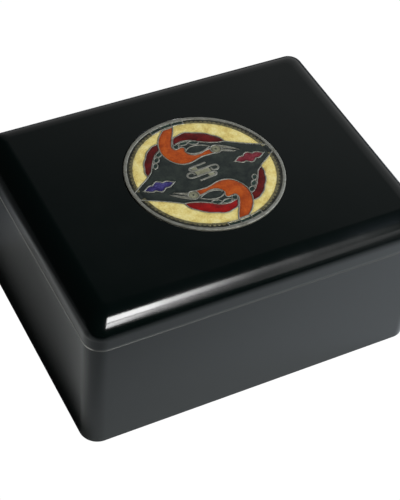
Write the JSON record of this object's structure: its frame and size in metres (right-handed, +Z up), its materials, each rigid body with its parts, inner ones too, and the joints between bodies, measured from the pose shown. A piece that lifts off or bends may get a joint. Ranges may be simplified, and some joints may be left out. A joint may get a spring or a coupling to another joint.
{
  "type": "stamp box",
  "caption": "Small rectangular black lacquered box with rounded corners, a lift-off lid that overlaps an inner tongue, and a round enamelled medallion set into the lid's top.",
  "frame": {"origin": "centre of the box's underside", "axes": "+X along the box's length, +Y towards the back, +Z up through the lid"},
  "size_m": [0.115, 0.0886, 0.0548],
  "materials": {
    "lacquer": "black lacquer over wood, polished to a soft gloss",
    "medallion_metal": "nickel-grey plated brass rim and wires",
    "enamel": "polished vitreous enamel in several colours, flush between the wires"
  },
  "bodies": {
    "root": {"box_base": "lacquer", "lid": "lacquer", "medallion": "medallion_metal"}
  },
  "joints": []
}
